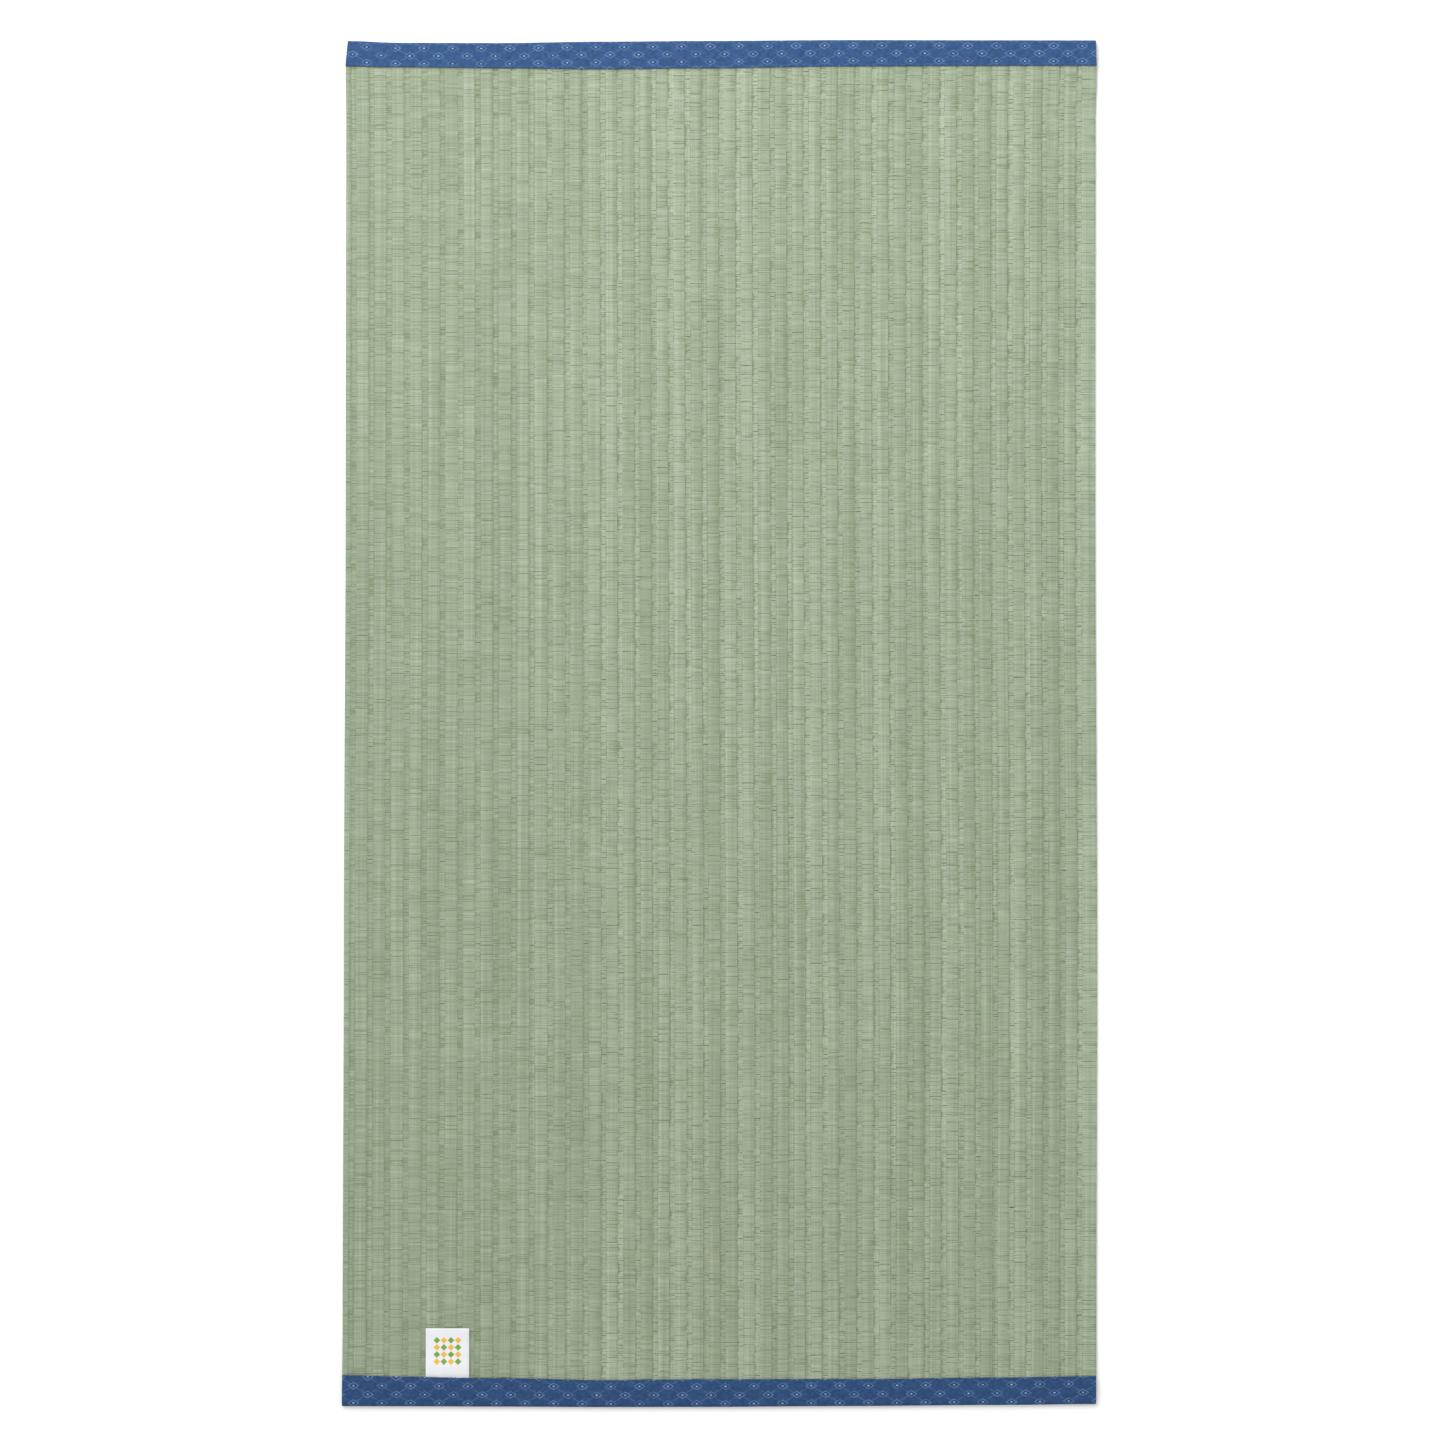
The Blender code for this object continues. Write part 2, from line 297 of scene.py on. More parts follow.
class RushMatColours(bpy.types.PropertyGroup):
    rush: tint("Rush", "Most of the dried rush", "8B9980")
    rush_dark: tint("Dark rush", "The dullest strands", "758469")
    rush_light: tint("Light rush", "The palest strands", "A4B29A")
    rush_yellow: tint("Yellow rush", "Strands that have turned yellow", "A19F7D")
    rush_grey: tint("Grey rush", "Strands that have turned grey", "8A958F")
    rush_shadow: tint("Shadow", "Rush where it dives between its warp threads", "5A6836")
    head_cloth: tint("Head cloth", "Ground of the binding at the head", "2E4D78")
    foot_cloth: tint("Foot cloth", "Ground of the binding at the foot", "28466F")
    lozenge: tint("Lozenge", "Lines of the woven lozenges", "7892BC")
    lozenge_middle: tint("Lozenge middle", "The dot in each lozenge", "93AFD2")
    satin: tint("Satin", "The label's own cloth", "E1E2E5")
    satin_green: tint("Green lozenge", "Every other lozenge woven in the label", "6E9E36")
    satin_orange: tint("Orange lozenge", "The lozenges between those", "EBAF35")
    floor: tint("Floor", "The floor under the mat", "FFFFFF")


def between(rows, key, value, at):
    """A table's values at an array of places, eased from row to row and level past its ends."""
    places = np.array([getattr(row, key) for row in rows])
    values = np.array([getattr(row, value) for row in rows])
    at = np.clip(at, places[0], places[-1])
    low = np.clip(np.searchsorted(places, at, side="right") - 1, 0, len(rows) - 2)
    share = (at - places[low]) / (places[low + 1] - places[low])
    return values[low] + ease(share) * (values[low + 1] - values[low])


def ease(share):
    """A share from 0 to 1 that starts and ends gently."""
    share = np.clip(share, 0.0, 1.0)
    return share * share * (3 - 2 * share)


def fold_line(end, across):
    """How far along the mat a binding's outer fold lies."""
    edge = HEAD_EDGE if end > 0 else FOOT_EDGE
    return end * (MAT_LENGTH / 2 - between(edge, "across", "fold", across))


def seam_line(end, across):
    """How far along the mat a binding's sewn edge lies."""
    edge = HEAD_EDGE if end > 0 else FOOT_EDGE
    return end * (SEAM_NOMINAL - between(edge, "across", "seam", across))


def across_at(share, along):
    """The place across the mat of a share of its width, on its uneven outline and swaying ribs."""
    left = between(SIDE_ROWS, "along", "left", along)
    right = between(SIDE_ROWS, "along", "right", along)
    sway = RIB_SWAY * np.sin(pi * share) * along / (MAT_LENGTH / 2)
    return left + share * (right - left) - sway


def groove_share(groove):
    """The share of the mat's width at which the middle of a groove lies, counted from the left."""
    ribbed = MAT_WIDTH - SELVEDGE_LEFT - SELVEDGE_RIGHT
    other_rib = (ribbed - WIDE_RIB_COUNT * WIDE_RIB) / (RIB_COUNT - WIDE_RIB_COUNT)
    wide = np.minimum(groove, WIDE_RIB_COUNT)
    even = SELVEDGE_LEFT + wide * WIDE_RIB + (groove - wide) * other_rib
    slow, quick = WANDER_TURNS
    wander = RIB_WANDER * (np.sin(slow * groove) + np.sin(quick * groove)) / 2
    return (even + wander) / MAT_WIDTH


GROOVES = groove_share(np.arange(RIB_COUNT + 1))


def weave_crest(along):
    """The height of the crests of the weave's upper face, which rises into each binding."""
    lifted = np.clip((np.abs(along) - SETTLED_END) / SETTLE_RUN, 0.0, 1.0)
    return RUSH_THICK + (RUSH_LIFT + RUSH_UNDER_BINDING - RUSH_THICK) * lifted


def weave_base(along):
    """The height of the crests of the weave's lower face."""
    return RUSH_LIFT * np.clip((np.abs(along) - SETTLED_END) / SETTLE_RUN, 0.0, 1.0)


def new_object(name, mesh, material=None):
    """An object of the scene for a mesh, in one material."""
    if material:
        mesh.materials.clear()
        mesh.materials.append(material)
    made = bpy.data.objects.new(name, mesh)
    bpy.context.scene.collection.objects.link(made)
    return made


def body_mesh(name, rings):
    """A closed body through closed rings of points, with a face over each end."""
    count, size = rings.shape[:2]
    faces = [tuple(range(size)), tuple(range((count - 1) * size, count * size))]
    for near in range(0, (count - 1) * size, size):
        for i in range(size):
            j = (i + 1) % size
            faces.append((near + i, near + j, near + size + j, near + size + i))
    mesh = bpy.data.meshes.new(name)
    mesh.from_pydata(rings.reshape(-1, 3).tolist(), [], faces)
    shape = bmesh.new()
    shape.from_mesh(mesh)
    bmesh.ops.recalc_face_normals(shape, faces=shape.faces)
    shape.to_mesh(mesh)
    shape.free()
    mesh.shade_smooth()
    mesh.set_sharp_from_angle(angle=pi / 3)
    return mesh


def set_values(mesh, name, values):
    """A number for each point of the mesh, which its material or a tree reads."""
    layer = mesh.attributes.new(name, "FLOAT", "POINT")
    layer.data.foreach_set("value", np.asarray(values, np.float32).ravel())


def values_of(mesh, name):
    """A number attribute of the mesh's points as an array."""
    flat = np.empty(len(mesh.vertices), np.float32)
    mesh.attributes[name].data.foreach_get("value", flat)
    return flat.astype(float)


def set_vectors(mesh, name, values):
    """A vector for each point of the mesh, which its material reads."""
    layer = mesh.attributes.new(name, "FLOAT_VECTOR", "POINT")
    layer.data.foreach_set("vector", np.asarray(values, np.float32).ravel())


def vectors(mesh, name):
    """A vector attribute of the mesh's points as an array, a row for each point."""
    flat = np.empty(len(mesh.vertices) * 3, np.float32)
    mesh.attributes[name].data.foreach_get("vector", flat)
    return flat.reshape(-1, 3).astype(float)


def set_map(mesh, name, places):
    """A UV map that gives each corner of a face its point's place."""
    layer = mesh.uv_layers.new(name=name)
    index = np.empty(len(mesh.loops), np.int32)
    mesh.loops.foreach_get("vertex_index", index)
    layer.data.foreach_set("uv", places[index].astype(np.float32).ravel())


def wire(tree, socket, value):
    """Sets a socket to a value, or links it to a socket or to a node's first output in use."""
    if isinstance(value, bpy.types.Node):
        value = next(output for output in value.outputs if output.enabled)
    if isinstance(value, bpy.types.NodeSocket):
        tree.links.new(value, socket)
    else:
        socket.default_value = value


def add(tree, kind, inputs=None, **settings):
    """A node with its settings, and its inputs, by name or number, set or linked."""
    node = tree.nodes.new(kind)
    for name, value in settings.items():
        setattr(node, name, value)
    for key, value in (inputs or {}).items():
        if isinstance(key, str):
            key = next(i for i, socket in enumerate(node.inputs) if socket.enabled and socket.name == key)
        wire(tree, node.inputs[key], value)
    return node


def maths(tree, operation, *values):
    """A node that does one sum on numbers."""
    return add(tree, "ShaderNodeMath", dict(enumerate(values)), operation=operation)


def vector_maths(tree, operation, *values):
    """A node that does one sum on vectors."""
    return add(tree, "ShaderNodeVectorMath", dict(enumerate(values)), operation=operation)


def scaled(tree, vector, size):
    """A vector or colour times a number."""
    return add(tree, "ShaderNodeVectorMath", {0: vector, "Scale": size}, operation="SCALE")


def remap(tree, value, given, wanted=(0.0, 1.0), **settings):
    """A value moved from one range to another, and kept inside it."""
    ends = {"From Min": given[0], "From Max": given[1], "To Min": wanted[0], "To Max": wanted[1]}
    return add(tree, "ShaderNodeMapRange", {"Value": value, **ends}, **settings)


def whole_maths(tree, operation, *values):
    """A node that does one sum on whole numbers."""
    return add(tree, "FunctionNodeIntegerMath", dict(enumerate(values)), operation=operation)


def noise(tree, place, scale, detail, roughness=0.5):
    """Soft noise over a place, finer with its scale."""
    inputs = {"Vector": place, "Scale": scale, "Detail": detail, "Roughness": roughness}
    return add(tree, "ShaderNodeTexNoise", inputs)


def waves(tree, place, pitch, direction):
    """Bands a pitch apart. Wave bands repeat every tenth of a turn, so the scale is a tenth of pi."""
    inputs = {"Vector": place, "Scale": pi / 10 / pitch}
    return add(tree, "ShaderNodeTexWave", inputs, bands_direction=direction).outputs["Fac"]


def bumped(tree, height, strength, distance):
    """A normal that a height has tilted."""
    return add(tree, "ShaderNodeBump", {"Height": height, "Strength": strength, "Distance": distance})


def carried(tree, name, output="Fac"):
    """A value that each point of the mesh carries, by its name."""
    return add(tree, "ShaderNodeAttribute", attribute_name=name).outputs[output]


def mixed(tree, share, one, other):
    """One colour, and by its share another."""
    return add(tree, "ShaderNodeMix", {"Factor": share, "A": one, "B": other}, data_type="RGBA")


def new_material(name):
    """A material, its tree and its Principled shader."""
    material = bpy.data.materials.new(name)
    material.use_nodes = True
    tree = material.node_tree
    return material, tree, tree.nodes["Principled BSDF"]


def new_tree(name, inputs):
    """A geometry tree with named inputs, and its input and output nodes."""
    tree = bpy.data.node_groups.new(name, "GeometryNodeTree")
    tree.is_modifier = True
    tree.interface.new_socket("Geometry", in_out="INPUT", socket_type="NodeSocketGeometry")
    for label, kind in inputs.items():
        tree.interface.new_socket(label, in_out="INPUT", socket_type=f"NodeSocket{kind}")
    tree.interface.new_socket("Geometry", in_out="OUTPUT", socket_type="NodeSocketGeometry")
    return tree, tree.nodes.new("NodeGroupInput"), tree.nodes.new("NodeGroupOutput")


def grow(obj, tree, values):
    """Runs a geometry tree on an object and keeps the result as its plain mesh."""
    modifier = obj.modifiers.new(tree.name, "NODES")
    modifier.node_group = tree
    for item in tree.interface.items_tree:
        if item.item_type == "SOCKET" and item.in_out == "INPUT" and item.name in values:
            modifier[item.identifier] = values[item.name]
    graph = bpy.context.evaluated_depsgraph_get()
    mesh = bpy.data.meshes.new_from_object(obj.evaluated_get(graph))
    obj.modifiers.remove(modifier)
    obj.data = mesh
    return mesh


def fit_piece(obj, slot, *nodes):
    """Ties a finished piece to the mat and hides the CAD nodes that it stands for. Its finish is not used.
    """
    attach(obj, BODY)
    if nodes:
        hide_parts(*nodes)


# Materials


def skin_colour(tree, colours, level):
    """The rush's colour at a level from dull, through its usual one, to pale."""
    skin = add(tree, "ShaderNodeValToRGB", {"Fac": level})
    stops = skin.color_ramp.elements
    stops[0].color = colours.rush_dark
    stops[1].color = colours.rush_light
    stops.new(0.5).color = colours.rush
    return skin


def rush_material(colours):
    """Dried soft rush, beaten up close: a thin waxy skin over pith, no two strands alike.

    The eye sees soft green streaks across each rib, and a darker line where strands dive, shaded both
    by the geometry and by shade painted into the colour.
    """
    material, tree, shader = new_material("dried_soft_rush")
    place = add(tree, "ShaderNodeTexCoord").outputs["Object"]
    tone, hue, dip = (carried(tree, name) for name in ("tone", "hue", "dip"))
    # Grain along a strand, about 0.3 mm across and 8 mm long, and patches of about 40 mm.
    grain_place = add(tree, "ShaderNodeMapping", {"Vector": place, "Scale": (0.12, 3.3, 1.0)})
    grain = noise(tree, grain_place, 1000.0, 3.0)
    patch = noise(tree, place, 24.0, 3.0)
    # Where neighbouring strands bend alike, streaks run down a rib: 1 to 3 mm across, 400 mm long.
    laid = carried(tree, "laid", "Vector")
    streak_place = add(tree, "ShaderNodeMapping", {"Vector": laid, "Scale": (360.0, 2.5, 1.0)})
    streak = noise(tree, streak_place, 1.0, 2.0, 0.8)
    # Each is centred on one half, and 0.5 is left over for the skin's own middle colour.
    level = maths(tree, "MULTIPLY_ADD", grain, 0.25, -0.375)
    level = maths(tree, "MULTIPLY_ADD", patch, 0.30, level)
    level = maths(tree, "MULTIPLY_ADD", streak, 1.20, level)
    pale = maths(tree, "MULTIPLY_ADD", tone, 0.25, level)
    skin = skin_colour(tree, colours, pale)
    yellow = remap(tree, hue, (0.4, 1.0), (0.0, 0.25))
    warm = mixed(tree, yellow, skin, colours.rush_yellow)
    grey = remap(tree, hue, (-0.3, -1.0), (0.0, 0.15))
    cool = mixed(tree, grey, warm, colours.rush_grey)
    # Painted shade: the rush is darkened towards the shadow colour where strands dive into the grooves, and
    # over the far side of leaning ribs.
    shade = maths(tree, "MULTIPLY", dip, 0.12)
    shaded = mixed(tree, shade, cool, colours.rush_shadow)
    gloss = remap(tree, grain, (0.3, 0.7), (0.50, 0.70))
    bump = bumped(tree, grain, 0.5, 0.06 * MM)
    wire(tree, shader.inputs["Base Color"], shaded)
    wire(tree, shader.inputs["Roughness"], gloss)
    wire(tree, shader.inputs["Normal"], bump)
    shader.inputs["IOR"].default_value = 1.45
    shader.inputs["Sheen Weight"].default_value = 0.06
    return material


def rush_back_material(colours, strand_pitch):
    """The same rush where only its ribs are modelled: the strands are drawn as streaks and bump."""
    material, tree, shader = new_material("dried_soft_rush_back")
    place = add(tree, "ShaderNodeTexCoord").outputs["Object"]
    depth = carried(tree, "depth")
    # A streak is a strand wide and about 14 mm long, so the pattern changes from rib to rib.
    streak_place = add(tree, "ShaderNodeMapping", {"Vector": place, "Scale": (0.11, 1.0, 0.11)})
    streak = noise(tree, streak_place, 1 / strand_pitch, 2.0)
    # Wave bands repeat every tenth of a turn, so this scale gives one wave to a strand.
    strands = add(
        tree,
        "ShaderNodeTexWave",
        {"Vector": place, "Scale": pi / 10 / strand_pitch, "Distortion": 1.2, "Detail": 1.0},
        bands_direction="Y",
    )
    pale = remap(tree, streak, (0.25, 0.75))
    skin = skin_colour(tree, colours, pale)
    # Painted shade: the ground is darkened towards the shadow colour in its grooves and under the strands.
    shade = maths(tree, "MULTIPLY", depth, 0.55)
    shaded = mixed(tree, shade, skin, colours.rush_shadow)
    bump = bumped(tree, strands, 0.6, 0.35 * MM)
    wire(tree, shader.inputs["Base Color"], shaded)
    wire(tree, shader.inputs["Normal"], bump)
    shader.inputs["Roughness"].default_value = 0.62
    shader.inputs["IOR"].default_value = 1.45
    return material


def lozenge_sums(tree, place, pattern, shift, lengths):
    """Sums that are 1 on the outline of a lozenge of each size, for one lattice of lozenges.

    The lattice repeats once a pitch across and every second row. The shift moves it by half of both.
    """
    centre = (0.5 + shift, 0.5 + shift, 0.0)
    cell = add(tree, "ShaderNodeMapping", {"Vector": place, "Scale": (1.0, 0.5, 1.0), "Location": centre})
    cell = vector_maths(tree, "FRACTION", cell)
    cell = vector_maths(tree, "SUBTRACT", cell, (0.5, 0.5, 0.0))
    cell = vector_maths(tree, "ABSOLUTE", cell)
    sums = []
    for long, wide in lengths:
        weights = (2 * LOZENGE_PITCH / long, 4 * pattern.row_pitch / wide, 0.0)
        dot = vector_maths(tree, "DOT_PRODUCT", cell, weights)
        sums.append(dot.outputs["Value"])
    trellis = vector_maths(tree, "DOT_PRODUCT", cell, (2.0, -2.0, 0.0))
    return [*sums, trellis.outputs["Value"]]


def binding_material(name, ground, pattern, colours):
    """Figured binding tape, cotton with a dull silk-like face: a traditional ground of woven lozenges.

    The eye sees thin paler outlines with a dot in each, blurred a little by the cloth's threads.
    """
    material, tree, shader = new_material(name)
    cloth = add(tree, "ShaderNodeUVMap", uv_map="cloth").outputs["UV"]
    place = add(tree, "ShaderNodeTexCoord").outputs["Object"]
    # The threads wander, so the figures waver by a few tenths of a millimetre.
    waver = noise(tree, place, 420.0, 2.0)
    waver = vector_maths(tree, "SUBTRACT", waver.outputs["Color"], (0.5, 0.5, 0.5))
    wavered = vector_maths(tree, "MULTIPLY_ADD", waver, (0.03, 0.11, 0.0), cloth)
    lengths = ((LOZENGE_LONG, LOZENGE_WIDE), (DOT_LONG, DOT_WIDE))
    first = lozenge_sums(tree, wavered, pattern, 0.0, lengths)
    second = lozenge_sums(tree, wavered, pattern, 0.5, lengths)
    outline, dot, trellis = (maths(tree, "MINIMUM", one, other) for one, other in zip(first, second))
    # The sum grows by this much over half the outline's thickness.
    half_line = LOZENGE_LINE / 2 * hypot(2 / LOZENGE_LONG, 2 / LOZENGE_WIDE)
    off_line = maths(tree, "SUBTRACT", outline, 1.0)
    off_line = maths(tree, "ABSOLUTE", off_line)
    on_line = remap(
        tree, off_line, (1.5 * half_line, 0.5 * half_line), (0.0, 0.62), interpolation_type="SMOOTHSTEP"
    )
    off_trellis = maths(tree, "ABSOLUTE", first[-1])
    outside = remap(tree, outline, (1.0, 1.3))
    on_trellis = remap(tree, off_trellis, (0.10, 0.02), (0.0, 0.22))
    on_trellis = maths(tree, "MULTIPLY", on_trellis, outside)
    # Some lozenges come out strongly and some hardly at all.
    uneven = noise(tree, place, 90.0, 2.0)
    uneven = remap(tree, uneven, (0.35, 0.65), (0.45, 1.0))
    drawn = maths(tree, "MAXIMUM", on_line, on_trellis)
    drawn = maths(tree, "MULTIPLY", drawn, uneven)
    in_dot = remap(tree, dot, (1.3, 0.7), (0.0, 0.85))
    # Mottling of about 3 mm, as light falls on threads that lie unevenly.
    mottle = noise(tree, place, 330.0, 3.0)
    mottle = remap(tree, mottle, (0.3, 0.7), (0.80, 1.20))
    inside = remap(tree, outline, (0.95, 0.75), (1.0, 0.9))
    brightness = maths(tree, "MULTIPLY", mottle, inside)
    cloth_colour = mixed(tree, drawn, ground, colours.lozenge)
    cloth_colour = mixed(tree, in_dot, cloth_colour, colours.lozenge_middle)
    cloth_colour = scaled(tree, cloth_colour, brightness)
    # Threads are 0.3 mm apart, and drawn 0.9 mm apart so that the weave shows.
    warp = waves(tree, place, 0.9 * MM, "X")
    weft = waves(tree, place, 0.9 * MM, "Y")
    weave = maths(tree, "MULTIPLY", warp, weft)
    weave = maths(tree, "MULTIPLY_ADD", drawn, 0.6, weave)
    bump = bumped(tree, weave, 0.5, 0.12 * MM)
    wire(tree, shader.inputs["Base Color"], cloth_colour)
    wire(tree, shader.inputs["Normal"], bump)
    shader.inputs["Roughness"].default_value = 0.72
    shader.inputs["Specular IOR Level"].default_value = 0.15
    shader.inputs["Sheen Weight"].default_value = 0.05
    shader.inputs["Sheen Roughness"].default_value = 0.4
    return material


def thread_material(name, ground):
    """Polyester sewing thread dyed to match its cloth: two twisted plies with a slight gloss."""
    material, tree, shader = new_material(name)
    place = add(tree, "ShaderNodeTexCoord").outputs["Object"]
    # The plies cross the thread on a slant, about 0.5 mm apart, and are painted lighter and darker
    # across each, as light and shade on the twist.
    plies = waves(tree, place, 0.5 * MM, "DIAGONAL")
    level = remap(tree, plies, (0.0, 1.0), (0.85, 1.3))
    colour = scaled(tree, ground[:3], level)
    bump = bumped(tree, plies, 0.5, 0.05 * MM)
    wire(tree, shader.inputs["Base Color"], colour)
    wire(tree, shader.inputs["Normal"], bump)
    shader.inputs["Roughness"].default_value = 0.5
    return material


def satin_material(colours, seam):
    """White polyester satin ribbon with a soft gloss, and a block of small lozenges woven in."""
    material, tree, shader = new_material("woven_satin_ribbon")
    place = add(tree, "ShaderNodeTexCoord").outputs["Object"]
    corner = (-LABEL_MIDDLE / LOZENGE_CELL, -(seam + BLOCK_MIDDLE) / LOZENGE_CELL, 0.5)
    scale = (1 / LOZENGE_CELL,) * 2 + (0.0,)
    cells = add(tree, "ShaderNodeMapping", {"Vector": place, "Scale": scale, "Location": corner})
    chequer = {"Vector": cells, "Scale": 1.0, "Color1": colours.satin_green, "Color2": colours.satin_orange}
    woven = add(tree, "ShaderNodeTexChecker", chequer)
    within = vector_maths(tree, "FRACTION", cells)
    within = vector_maths(tree, "SUBTRACT", within, (0.5, 0.5, 0.5))
    within = vector_maths(tree, "ABSOLUTE", within)
    apart = vector_maths(tree, "DOT_PRODUCT", within, (1.0, 1.0, 0.0))
    in_lozenge = remap(tree, apart.outputs["Value"], (0.51, 0.45))
    block = vector_maths(tree, "ABSOLUTE", cells)
    block = add(tree, "ShaderNodeSeparateXYZ", {"Vector": block})
    furthest = maths(tree, "MAXIMUM", block.outputs["X"], block.outputs["Y"])
    in_block = maths(tree, "LESS_THAN", furthest, BLOCK_CELLS / 2)
    share = maths(tree, "MULTIPLY", in_lozenge, in_block)
    colour = mixed(tree, share, colours.satin, woven)
    # Weft threads lie about 0.35 mm apart, and are drawn 0.7 mm apart so that they show.
    weft = waves(tree, place, 0.7 * MM, "Y")
    # Painted shade of soft creases, which darkens the satin in patches.
    painted_crease_shade = noise(tree, place, 90.0, 2.0)
    level = remap(tree, painted_crease_shade, (0.0, 1.0), (0.93, 1.03))
    colour = scaled(tree, colour, level)
    bump = bumped(tree, weft, 0.4, 0.05 * MM)
    wire(tree, shader.inputs["Base Color"], colour)
    wire(tree, shader.inputs["Normal"], bump)
    shader.inputs["Roughness"].default_value = 0.42
    shader.inputs["Sheen Weight"].default_value = 0.1
    return material


def floor_material(colours):
    """A matt painted board, so even that it shows as plain white."""
    material, _, shader = new_material("matt_white_paint")
    shader.inputs["Base Color"].default_value = colours.floor
    shader.inputs["Roughness"].default_value = 0.9
    return material


# Rush


def ground_points():
    """Every point across the ground: shares of the width, and how far each face is out of its groove."""
    half = GROOVE_WIDTH / 2 / MAT_WIDTH
    spans = [(SELVEDGE_GROUND, 0.0, GROOVES[0] - half)]
    spans += [(RIB_GROUND, GROOVES[rib] + half, GROOVES[rib + 1] - half) for rib in range(RIB_COUNT)]
    spans += [(RIB_GROUND, GROOVES[-1] + half, 1.0)]
    return np.array(
        [
            (start + point.share * (stop - start), point.upper, point.lower)
            for points, start, stop in spans
            for point in points
        ]
    ).T


def ground_rows():
    """Places along the mat from foot to head, closer together where the weave is lifted."""
    half = np.concatenate(
        [np.linspace(0.0, SETTLED_END, 10), np.linspace(SETTLED_END, SEAM_NOMINAL, 5)[1:]]
    )
    return np.concatenate([-half[:0:-1], half])


def make_ground(context):
    """The ribbed sheet that lies under the strands, and shows as the mat's underside."""
    share, upper, lower = ground_points()
    inset = FOLD_RADIUS + GAP
    foot = fold_line(-1, across_at(share, -MAT_LENGTH / 2)) + inset
    head = fold_line(1, across_at(share, MAT_LENGTH / 2)) - inset
    rings, ground_shades = [], []
    for along in (foot, *(np.full_like(share, row) for row in ground_rows()), head):
        across = across_at(share, along)
        top = weave_crest(along) - STRAND_STAND - GROUND_GROOVE * (1 - upper)
        base = weave_base(along) + GROOVE_DEPTH * (1 - lower)
        above = np.stack([across, along, top], axis=1)
        below = np.stack([across, along, base], axis=1)
        rings.append(np.concatenate([above, below[::-1]]))
        # Painted shade: even on the upper face under the strands, and deeper in the grooves of the lower
        # face.
        ground_shades.append(np.concatenate([np.full_like(upper, UPPER_FACE_SHADE), 1 - lower[::-1]]))
    mesh = body_mesh("rush_ground", np.array(rings))
    set_values(mesh, "depth", ground_shades)
    settings = context.scene.rush_mat_sizes
    material = rush_back_material(context.scene.rush_mat_colours, settings.strand_pitch)
    ground = new_object("rush_ground", mesh, material)
    fit_piece(ground, "green_rush", "rush_weave")


def float_template(name, rows):
    """One stretch of strand as an arched strip a unit long and wide, for the tree to place."""
    points, dips, faces = [], [], []
    for row in rows:
        for side in (-0.5, 0.0, 0.5):
            round_off = STRAND_ROUND * (2 * side) ** 2
            points.append((row.at, side * row.wide, -row.sunk - round_off))
            dips.append(row.dip)
    for low in range(0, 3 * (len(rows) - 1), 3):
        for i in (low, low + 1):
            faces.append((i, i + 3, i + 4, i + 1))
    mesh = bpy.data.meshes.new(name)
    mesh.from_pydata(points, [], faces)
    mesh.shade_smooth()
    set_values(mesh, "dip", dips)
    set_vectors(mesh, "within", points)
    return new_object(name, mesh)


def lean_share(across):
    """How far ribs have gone over from lying level to leaning, at distances from the left side."""
    return ease((across / MAT_WIDTH - LEAN_FROM) / (LEAN_TO - LEAN_FROM))


def painted_lean_shade(across):
    """How much painted shade a leaning rib gets, from 0 to 1, at distances from the left side."""
    grooves = GROOVES * MAT_WIDTH
    rib = np.clip(np.searchsorted(grooves, across) - 1, 0, RIB_COUNT - 1)
    ahead = (across - grooves[rib]) / (grooves[rib + 1] - grooves[rib])
    return (1 - np.cos(2 * pi * (ahead - PALEST_AT))) / 2


def strand_guide():
    """A point for each rib, groove and selvedge: where it lies, how wide it is and how it leans."""
    half = GROOVE_WIDTH / 2
    grooves = GROOVES * MAT_WIDTH
    starts = np.concatenate([[0.0], grooves + half])
    stops = np.concatenate([grooves - half, [MAT_WIDTH]])
    at = np.concatenate([(starts + stops) / 2, grooves])
    breadth = np.concatenate([stops - starts, np.full_like(grooves, GROOVE_WIDTH)])
    in_groove = np.concatenate([np.zeros_like(starts), np.ones_like(grooves)])
    mesh = bpy.data.meshes.new("strand_guide")
    mesh.from_pydata([(place, 0.0, 0.0) for place in at], [], [])
    set_values(mesh, "at", at)
    set_values(mesh, "breadth", breadth)
    leant = lean_share(at)
    set_values(mesh, "lean", leant * np.where(in_groove > 0, GROOVE_LEAN, RIB_LEAN))
    set_values(mesh, "in_groove", in_groove)
    spread = PALE_SPREAD + PALE_SPREAD_LEANT * leant
    # Leaning ribs are painted paler, light that offsets their shade.
    pale = spread * np.sin(PALE_TURN * np.arange(len(at))) + PALE_LEANT * leant
    pale[len(starts) - 1] += PALE_SELVEDGE
    set_values(mesh, "pale", pale)
    return mesh


STRAND_INPUTS = {
    "First Strand": "Int",
    "Strands": "Int",
    "Start": "Float",
    "Pitch": "Float",
    "Stray": "Float",
    "Seed": "Int",
    "Rib Float": "Object",
    "Groove Float": "Object",
    "Material": "Material",
}


